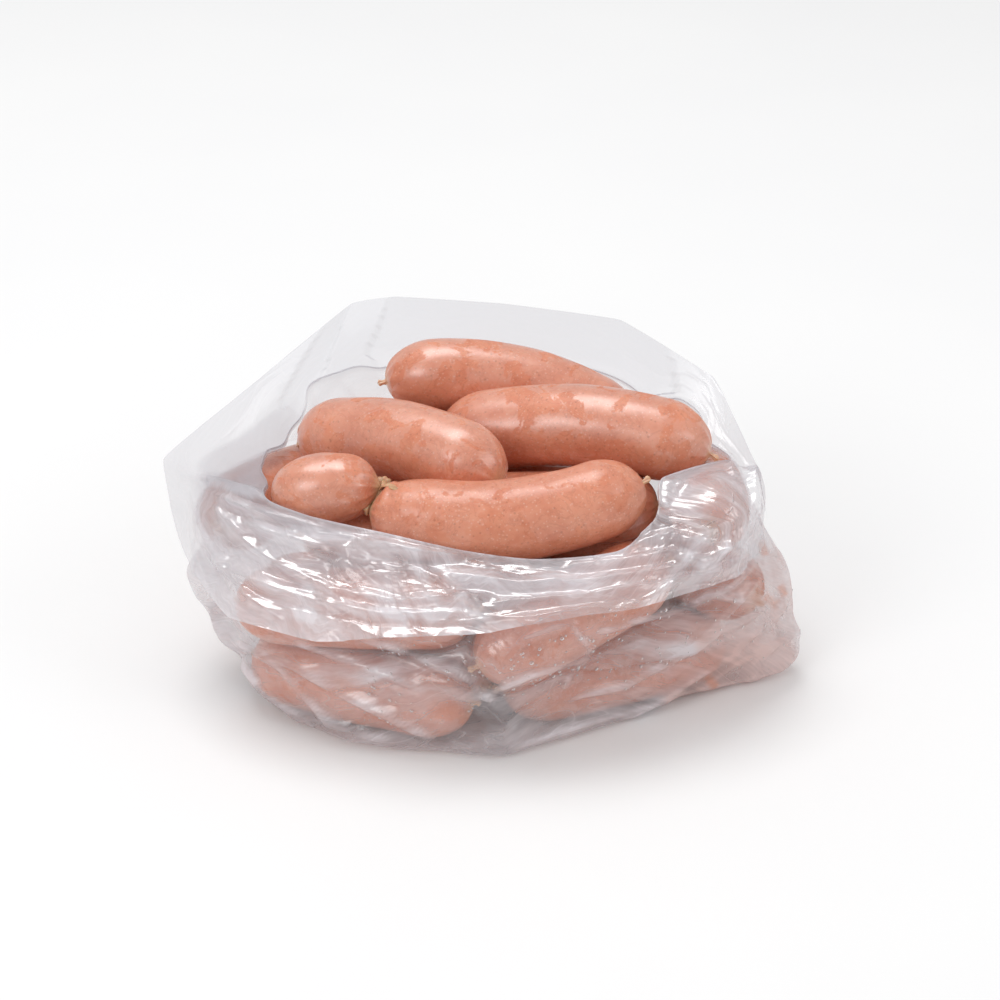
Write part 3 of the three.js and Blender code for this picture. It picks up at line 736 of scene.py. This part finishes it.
class Side:
    """The side and bottom of the bag as a distance from its middle, over turn and lift."""

    turns = 720
    lifts = np.radians(np.linspace(-84, 62, 266))

    def __init__(self, links, rim, rng):
        balls = [link_spheres(link) for link in links]
        places = np.vstack([place for place, _ in balls]) - CENTRE
        sizes = np.concatenate([size for _, size in balls])
        self.turn = (np.arange(self.turns) + 0.5) / self.turns * 2 * np.pi - np.pi
        self.rim_facts(rim)
        self.reach = self.link_reach(places, sizes + 1.0)
        taut = self.taut_film(places, sizes)
        self.radius = self.relaxed(taut)
        self.gap = self.radius - self.reach
        self.creased(rng)

    def rim_facts(self, rim):
        away = rim - CENTRE
        turn = np.arctan2(away[:, 1], away[:, 0])
        order = np.argsort(turn)
        self.rim_turn = turn[order]
        self.rim_out = np.hypot(away[:, 0], away[:, 1])[order]
        self.rim_up = away[:, 2][order]

    def rim_at(self, turn):
        out = np.interp(turn, self.rim_turn, self.rim_out, period=2 * np.pi)
        up = np.interp(turn, self.rim_turn, self.rim_up, period=2 * np.pi)
        return out, up

    def directions(self, turn, lift):
        return np.stack([np.cos(turn) * np.cos(lift), np.sin(turn) * np.cos(lift), np.sin(lift)], axis=-1)

    def limits(self):
        """The least and the greatest radius, which keep the film off the links and above the floor."""
        floor = np.where(self.lifts < -0.01, CENTRE[2] / np.maximum(-np.sin(self.lifts), 1e-3), 400)[None]
        return np.minimum(self.reach + 0.3, floor), floor

    def link_reach(self, places, sizes):
        turn, lift = np.meshgrid(self.turn, self.lifts, indexing="ij")
        ways = self.directions(turn, lift).reshape(-1, 3).astype(np.float32)
        most = np.zeros(len(ways), dtype=np.float32)
        for place, size in zip(places.astype(np.float32), sizes.astype(np.float32)):
            along = ways @ place
            square = along * along - place @ place + size * size
            hit = (square > 0) & (along > 0)
            most[hit] = np.maximum(most[hit], along[hit] + np.sqrt(square[hit]))
        return most.reshape(turn.shape).astype(float)

    def taut_film(self, places, sizes):
        """Film drawn tight round the links and the stiff corners, and straight from its belly to the rim."""
        corners = np.array(BAG_CORNERS, dtype=float) + SHIFT - CENTRE
        places = np.vstack([places, corners])
        sizes = np.concatenate([sizes + 1.6, np.full(len(corners), CORNER_RADIUS)])
        count = 4200
        z = 1 - (2 * np.arange(count) + 1) / count
        spin = np.arange(count) * np.pi * (3 - math.sqrt(5))
        normals = np.stack([np.sqrt(1 - z * z) * np.cos(spin), np.sqrt(1 - z * z) * np.sin(spin), z], axis=1)
        reach = (normals @ places.T + sizes).max(1)
        coarse_turn = (np.arange(360) + 0.5) / 360 * 2 * np.pi - np.pi
        coarse_lift = np.radians(np.linspace(-84, 62, 110))
        turn, lift = np.meshgrid(coarse_turn, coarse_lift, indexing="ij")
        ways = self.directions(turn, lift).reshape(-1, 3)
        least = np.full(len(ways), 400.0)
        for start in range(0, len(ways), 4000):
            slope = ways[start : start + 4000] @ normals.T
            limit = np.where(slope > 0.05, reach / np.maximum(slope, 0.05), np.inf)
            least[start : start + 4000] = limit.min(1)
        down = ways[:, 2] < -0.01
        least[down] = np.minimum(least[down], CENTRE[2] / -ways[down, 2])
        coarse = least.reshape(turn.shape)
        rows = np.stack([np.interp(self.lifts, coarse_lift, row) for row in coarse])
        columns = [np.interp(self.turn, coarse_turn, row, period=2 * np.pi) for row in rows.T]
        hull = np.stack(columns, axis=1)
        start = math.radians(2)
        belly = np.array([np.interp(start, self.lifts, row) for row in hull])
        r1, z1 = (belly * math.cos(start))[:, None], (belly * math.sin(start))[:, None]
        r2, z2 = self.rim_at(self.turn)
        r2, z2 = r2[:, None], z2[:, None]
        slope = np.cos(self.lifts) * (z2 - z1) - np.sin(self.lifts) * (r2 - r1)
        straight = (r1 * z2 - r2 * z1) / np.maximum(slope, 1.0)
        return np.where(self.lifts[None] <= start, hull, np.minimum(straight, 260))

    def relaxed(self, taut):
        """Wet film is drawn a little way in between the links and bridges the rest."""
        least, floor = self.limits()
        room = np.maximum(taut - least, 0)
        # The stiff corners keep their shape: only the film near the links is drawn in.
        draw = np.minimum(0.85 * room, 10.0) * (room < 26)
        draw *= 1 - 0.85 * np.exp(-(((self.turn + 0.06) / 0.24) ** 2))[:, None]
        low = smoothstep(math.radians(-34), math.radians(-22), self.lifts)[None]
        radius = taut - draw * low
        for _ in range(70):
            around = (np.roll(radius, 1, 0) + np.roll(radius, -1, 0)) / 2
            upright = radius.copy()
            upright[:, 1:-1] = (radius[:, 2:] + radius[:, :-2]) / 2
            radius = radius + 0.5 * ((around + upright) / 2 - radius) * low
            radius = np.minimum(np.maximum(radius, least), floor)
        return radius

    def creased(self, rng):
        turn, lift = np.meshgrid(self.turn, self.lifts, indexing="ij")
        ways = self.directions(turn, lift)
        points = CENTRE + ways * self.radius[..., None]
        flat = points.reshape(-1, 3)
        stretched = flat * [0.55, 0.55, 1.0] + np.outer(flat[:, 0], [0, 0, -0.18])
        facets = crumple(stretched, 15, rng).reshape(turn.shape)
        facets += 0.45 * crumple(stretched, 8, rng).reshape(turn.shape)
        u, v, period = turn * SHEET_RADIUS, lift * 112, 2 * np.pi * SHEET_RADIUS
        random_part = random_creases(u, v, 170, period, rng, (18, 26), (0.4, 1.5), (0.7, 1.8))
        placed = np.zeros(turn.size)
        seen = (ways[..., 1] < 0.35).ravel()
        placed[seen] = crease_height(pixels(flat[seen]), SIDE_CREASES)
        placed = placed.reshape(turn.shape)
        free = np.clip(self.gap / 4, 0.12, 1)
        self.ridge = np.abs(random_part) * 0.5 + np.maximum(placed, 0) * 0.5
        upright = smoothstep(math.radians(-40), math.radians(-26), lift)
        added = (0.95 * facets * free + random_part * np.clip(free + 0.3, 0, 1) + placed) * upright
        least, floor = self.limits()
        self.radius = np.minimum(np.maximum(self.radius + added, least), floor)
        self.gap = self.radius - self.reach

    def sample(self, grid, turn, lift):
        x = (turn + np.pi) / (2 * np.pi) * self.turns - 0.5
        y = (lift - self.lifts[0]) / (self.lifts[1] - self.lifts[0])
        y = np.clip(y, 0, len(self.lifts) - 1.001)
        x0, y0 = np.floor(x).astype(int), np.floor(y).astype(int)
        fx, fy = x - x0, y - y0
        x0, x1 = x0 % self.turns, (x0 + 1) % self.turns
        low = grid[x0, y0] * (1 - fx) + grid[x1, y0] * fx
        high = grid[x0, y0 + 1] * (1 - fx) + grid[x1, y0 + 1] * fx
        return low * (1 - fy) + high * fy


def film_columns():
    """Rim, shoulder and edge points for each column of the film, closer together at the front."""
    shoulders = []
    for rim, shoulder, edge in MOUTH:
        between = np.array(rim) * (1 - SHOULDER_SHARE) + np.array(edge) * SHOULDER_SHARE
        shoulders.append(shoulder or between.tolist())
    rim = closed_curve([rim for rim, _, _ in MOUTH], 0.35, 4000) + SHIFT
    shoulder = closed_curve(shoulders, 0.35, 4000) + SHIFT
    edge = closed_curve([edge for _, _, edge in MOUTH], 0.12, 4000) + SHIFT
    step = np.linalg.norm(np.roll(shoulder, -1, 0) - shoulder, axis=1)
    step += np.linalg.norm(np.roll(rim, -1, 0) - rim, axis=1)
    step *= np.where(shoulder[:, 1] < 0, 1.7, 1.0)
    total = np.concatenate([[0], np.cumsum(step)])
    place = np.interp(np.arange(FILM_COLUMNS) / FILM_COLUMNS * total[-1], total, np.arange(4001))
    index = place.astype(int) % 4000
    return rim[index], shoulder[index], edge[index]


def side_places(turn, rim_lift):
    """The turn and lift of each point of the side: few rows lie under the bag, and most on its side."""
    share = np.interp(np.linspace(0, 1, SIDE_ROWS), [0, 0.13, 1], [0, 1, 2])[None]
    low = np.radians(-83 + 45 * np.minimum(share, 1))
    lift = low + (rim_lift[:, None] - np.radians(-38)) * np.maximum(share - 1, 0)
    return np.repeat(turn[:, None], SIDE_ROWS, axis=1), lift


def plain_cuff(knots, away):
    """The cuff without creases: over the rim, out over the shoulder and down to the free edge.

    Gives its points, the ways out of it, their distances from the rim, and the rim's from the shoulder."""
    spans = np.linalg.norm(np.diff(knots, axis=1), axis=2)
    total = spans.sum(1)
    rows = np.linspace(0, 1, CUFF_ROWS + 1)[1:]
    cuff = np.zeros((FILM_COLUMNS, CUFF_ROWS, 3))
    for column in range(FILM_COLUMNS):
        places = np.concatenate([[0], np.cumsum(spans[column])]) / total[column]
        for axis in range(3):
            cuff[column, :, axis] = np.interp(rows, places, knots[column, :, axis])
    for _ in range(12):
        cuff[:, 1:-1] = cuff[:, 1:-1] * 0.5 + (cuff[:, 2:] + cuff[:, :-2]) * 0.25
    normal = unit(np.cross(np.gradient(cuff, axis=1), np.gradient(cuff, axis=0)))
    out = unit(away * [1, 1, 0])[:, None] + [0, 0, 0.6]
    flip = np.sign((normal * out).sum(-1, keepdims=True))
    normal = normal * np.where(flip == 0, 1, flip)
    # It bows out slightly between the rim and the free edge.
    cuff = cuff + normal * (6 * rows * (1 - rows))[None, :, None]
    cuff[..., 2] += 1.6 * np.exp(-rows * total[:, None] / 3.0)
    return cuff, normal, rows[None] * total[:, None], spans[:, :1]


def cuff_relief(cuff, places, shown, u, v, strength, rng):
    """How far the facets and creases stand out of the cuff, mm, and how sharp its ridges are."""
    placed = crease_height(places, CUFF_CREASES).reshape(v.shape) * shown
    flat = cuff.reshape(-1, 3)
    stretched = flat * [0.42, 0.7, 1.0] + np.outer(flat[:, 0], [0, 0, 0.12])
    facets = crumple(stretched, 13, rng).reshape(v.shape)
    facets = facets + 0.5 * crumple(stretched, 7, rng).reshape(v.shape)
    fine = random_creases(u, v, 260, u.max() + 2, rng, (6, 14), (0.35, 1.2), (0.3, 0.9))
    relief = ((0.8 * facets + fine) * strength + placed) * smoothstep(0, 4, v)
    return relief, np.clip(np.abs(fine) * 0.3 + np.maximum(placed, 0) * 0.25, 0, 1)


def side_look(side, turns, lift, points, facing):
    """The haze of the side, and how far juice tints it.

    It is clear and dark where the film is wet against a link, and milky where it stands off; a thin line of
    whiter film along each placed crease is a painted highlight."""
    gap = side.sample(side.gap, turns, lift)
    ridge = np.clip(side.sample(side.ridge, turns, lift), 0, 1)
    places = pixels(points).reshape(-1, 2)
    # Painted highlights: a thin line of whiter film along each placed crease.
    folds = [(line, 2.4, 0.15) for line, *_ in SIDE_CREASES]
    veil, blush, crease_highlight = (
        veil_change(places, veils).reshape(gap.shape) * facing for veils in (SIDE_VEILS, SIDE_BLUSHES, folds)
    )
    wet = np.exp(-np.maximum(gap - 0.3, 0) / 1.6)
    haze = 0.17 + 0.13 * (1 - wet) + 0.12 * smoothstep(4, 22, gap) + 0.26 * ridge
    haze = haze + np.where(veil < 0, haze * veil, veil)
    blush = np.clip(blush, 0, 1)
    return haze + 0.22 * blush + crease_highlight, blush


def film_faces(rows):
    """Quads between the columns of the film, and a fan to the middle of its bottom."""
    start = np.arange(FILM_COLUMNS)[:, None] * rows
    following = np.roll(start, -1, axis=0)
    row = np.arange(rows - 1)[None]
    corners = [start + row, following + row, following + row + 1, start + row + 1]
    quads = np.stack(corners, axis=-1).reshape(-1, 4)
    middle = np.full_like(start, FILM_COLUMNS * rows)
    return quads.tolist() + np.hstack([middle, following, start]).tolist()


def build_film(links, material, rng):
    """The film: its bottom and side, a small roll over the rim, and the cuff and collar."""
    rim_fine = closed_curve([rim for rim, _, _ in MOUTH], 0.35, 4000) + SHIFT
    side = Side(links, rim_fine, rng)
    rim, shoulder, edge = film_columns()
    away = rim - CENTRE
    reach = np.hypot(away[:, 0], away[:, 1])
    right, back = away[:, :1] / reach[:, None], away[:, 1:2] / reach[:, None]
    turn = np.arctan2(away[:, 1], away[:, 0])
    turns, lift = side_places(turn, np.arctan2(away[:, 2], reach))
    side_points = CENTRE + side.directions(turns, lift) * side.sample(side.radius, turns, lift)[..., None]
    side_points[..., 2] = np.maximum(side_points[..., 2], 0.0)

    top = side_points[:, -1]
    shoulder = shoulder + (top - rim) * 0.5
    cuff, normal, v, ledge_width = plain_cuff(np.stack([top, shoulder, edge], axis=1), away)
    places = pixels(cuff).reshape(-1, 2)
    u = np.concatenate([[0], np.cumsum(np.linalg.norm(np.diff(shoulder, axis=0), axis=1))])
    u = np.repeat(u[:, None], CUFF_ROWS, axis=1)
    frontness = smoothstep(0.1, -0.5, back)
    sideness = smoothstep(0.75, 0.95, np.abs(right)) * np.where(right < 0, 0.2, 0.45)
    strength = 0.05 + 0.95 * np.clip(frontness + sideness, 0, 1)
    relief, ridge = cuff_relief(cuff, places, away[:, 1:2] < 20, u, v, strength, rng)
    cuff = cuff + normal * relief[..., None]
    # Twice, as a point that has moved lies over another place of the side.
    for _ in range(2):
        cuff = cleared(side, cuff)
    cuff[..., 2] = np.maximum(cuff[..., 2], 1.0)

    roll = np.linspace(0, 1, ROLL_ROWS + 2)[1:-1][None, :, None]
    arch = top[:, None] * (1 - roll) + cuff[:, :1] * roll
    arch[..., 2] += (1.5 * np.sin(np.pi * (0.15 + 0.7 * roll)))[..., 0]
    points = np.concatenate([side_points, arch, cuff], axis=1)

    facing = smoothstep(0.5, 0.2, back)
    side_haze, side_blush = side_look(side, turns, lift, side_points, facing)
    # The ledge between the inner rim and the shoulder at the left is smooth and milky.
    ledge = smoothstep(-0.8, -0.92, right) * smoothstep(1.0, 0.8, v / np.maximum(ledge_width, 1))
    cuff_haze = 0.38 + 0.16 * frontness + 0.25 * ridge * strength + 0.24 * ledge
    # Placed milky and clear places, among them painted highlights.
    cuff_haze = cuff_haze + veil_change(places, CUFF_VEILS_AND_HIGHLIGHTS).reshape(v.shape) * facing
    # The roll over the rim takes the cuff's haze plus a painted highlight: whiter film along the rim fold,
    # most at the front.
    arch_haze_and_highlight = np.repeat(cuff_haze[:, :1] + 0.1 + 0.2 * frontness, ROLL_ROWS, axis=1)
    haze = np.clip(np.concatenate([side_haze, arch_haze_and_highlight, cuff_haze], axis=1), 0.03, 0.95)
    side_rumple = np.broadcast_to(0.35 + 0.65 * smoothstep(0.6, -0.1, back), side_haze.shape)
    cuff_rumple = np.clip(strength - 0.5 * ledge, 0.05, 1)
    rumple = np.concatenate([side_rumple, cuff_rumple[:, :ROLL_ROWS], cuff_rumple], axis=1)
    blush = np.pad(side_blush, ((0, 0), (0, ROLL_ROWS + CUFF_ROWS)))

    steps = np.linalg.norm(np.diff(points, axis=1), axis=2)
    down = np.pad(np.cumsum(steps, axis=1), ((0, 0), (1, 0)))
    across = np.broadcast_to(turn[:, None], down.shape)
    sheet = np.stack([np.cos(across) * SHEET_RADIUS, down, np.sin(across) * SHEET_RADIUS], axis=-1) * MM
    vertices = np.vstack([points.reshape(-1, 3), [[CENTRE[0], CENTRE[1], 0.0]]])
    values = {
        "haze": np.append(haze.ravel(), 0.3),
        "rumple": np.append(rumple.ravel(), 0.5),
        "blush": np.append(blush.ravel(), 0.0),
        "sheet": np.vstack([sheet.reshape(-1, 3), [[0, 0, 0]]]),
    }
    faces = film_faces(points.shape[1])
    mesh_piece("bag_film_sheet", vertices, faces, material, ["bag_film"], values)
    return side


def cleared(side, cuff):
    """Keeps the cuff outside the side of the bag."""
    away = cuff - CENTRE
    flat = np.hypot(away[..., 0], away[..., 1])
    turn, lift = np.arctan2(away[..., 1], away[..., 0]), np.arctan2(away[..., 2], flat)
    rim_out, rim_up = side.rim_at(turn)
    rim_lift = np.arctan2(rim_up, rim_out)
    radius = np.linalg.norm(away, axis=-1)
    least = side.sample(side.radius, turn, lift) + 0.9
    short = np.maximum(least - radius, 0) * smoothstep(math.radians(4), 0, lift - rim_lift)
    return cuff + away / radius[..., None] * short[..., None]


def bead_part(place, way, size):
    """A ball of water, flattened where it sits on the film."""
    rings, sides = 4, 8
    first = unit(np.cross(way, [0.0, 0.0, 1.0]))
    second = np.cross(way, first)
    polar = (np.arange(1, rings + 1) / (rings + 1) * np.pi)[:, None, None]
    turn = np.arange(sides) / sides * 2 * np.pi
    ring = np.cos(turn)[:, None] * first + np.sin(turn)[:, None] * second
    pole = way * size * 0.55
    points = place + np.sin(polar) * size * ring + np.cos(polar) * pole
    return np.vstack([place + pole, points.reshape(-1, 3), place - pole]), ring_faces(rings, sides)


def build_droplets(side, material, rng):
    """Small beads of water on the film of the lower front and right, joined in one mesh."""
    parts = []
    for _ in range(330):
        turn = math.radians(rng.uniform(-128, -2))
        lift = math.radians(rng.uniform(-24, 10))
        size = rng.uniform(0.35, 0.7) if rng.random() < 0.85 else rng.uniform(0.7, 1.15)
        way = side.directions(turn, lift)
        reach = side.sample(side.radius, np.array(turn), np.array(lift)) + 0.12 * size
        parts.append(bead_part(CENTRE + way * reach, way, size))
    points, faces = joined_parts(parts)
    mesh_piece("water_beads", points, faces, material, [])


# Camera, lights and floor


def build_camera():
    data = bpy.data.cameras.new("camera")
    data.sensor_width = 36.0
    data.lens = 36.0 * FOCAL_PIXELS / 1000.0
    data.clip_end = 20.0
    camera = bpy.data.objects.new("camera", data)
    camera.location = (CAMERA_PLACE * MM).tolist()
    camera.rotation_euler = (math.pi / 2 - CAMERA_LIFT, 0.0, 0.0)
    bpy.context.scene.collection.objects.link(camera)
    bpy.context.scene.camera = camera


def area_light(name, place, target, size, power):
    data = bpy.data.lights.new(name, "AREA")
    data.shape = "RECTANGLE"
    data.size, data.size_y = size
    data.energy = power
    light = bpy.data.objects.new(name, data)
    light.location = place
    way = unit(np.array(target) - np.array(place))
    light.rotation_euler = (math.acos(-way[2]), 0.0, math.atan2(way[1], way[0]) - math.pi / 2)
    bpy.context.scene.collection.objects.link(light)


def floor_material():
    """Plain pale paper."""
    material, tree = node_material("floor_paper")
    tone = noise(tree, object_place(tree), 3)
    color = ramp(tree, tone, (0.3, (0.83, 0.83, 0.835)), (0.7, (0.85, 0.85, 0.85)))
    paper = add_node(tree, "ShaderNodeBsdfPrincipled", Roughness=0.9, Specular_IOR_Level=0.1)
    tree.links.new(color, paper.inputs["Base Color"])
    set_surface(tree, paper)
    return material


def build_floor():
    mesh = bpy.data.meshes.new("floor")
    mesh.from_pydata([(-4, -4, 0), (4, -4, 0), (4, 4, 0), (-4, 4, 0)], [], [(0, 1, 2, 3)])
    mesh.materials.append(floor_material())
    floor = bpy.data.objects.new("floor", mesh)
    floor.location.z = -0.0006
    bpy.context.scene.collection.objects.link(floor)


def build_lights():
    world = bpy.data.worlds.new("studio")
    world.use_nodes = True
    background = world.node_tree.nodes["Background"]
    background.inputs["Color"].default_value = (1.0, 1.0, 1.0, 1.0)
    background.inputs["Strength"].default_value = 0.62
    bpy.context.scene.world = world
    area_light("top_softbox", (-0.35, 0.5, 2.3), (0.0, 0.1, 0.08), (1.5, 1.1), 26.5)
    area_light("front_softbox", (-1.2, -1.5, 1.3), (0.0, 0.0, 0.06), (1.0, 0.75), 10.5)
    area_light("right_softbox", (1.5, -0.7, 1.0), (0.0, 0.0, 0.06), (0.8, 0.9), 4.5)


def set_look():
    scene = bpy.context.scene
    scene.view_settings.view_transform = "Standard"
    scene.cycles.transparent_max_bounces = 24
    scene.cycles.max_bounces = 8


build_camera()
build_floor()
build_lights()
set_look()
sausage = sausage_material()
facts = {name: link_facts(name) for name in LINK_NAMES}
for index, name in enumerate(LINK_NAMES):
    sides, rings = (36, 24) if name.startswith("link_row") else (60, 46)
    rng = np.random.default_rng(LINK_SEED + index)
    build_link(facts[name], sausage, rng, sides, rings, JOINED_ENDS.get(name))
build_knot(facts["link_short"], facts["link_front"], casing_material())
side = build_film(list(facts.values()), film_material(), np.random.default_rng(FILM_SEED))
build_droplets(side, droplet_material(), np.random.default_rng(BEAD_SEED))
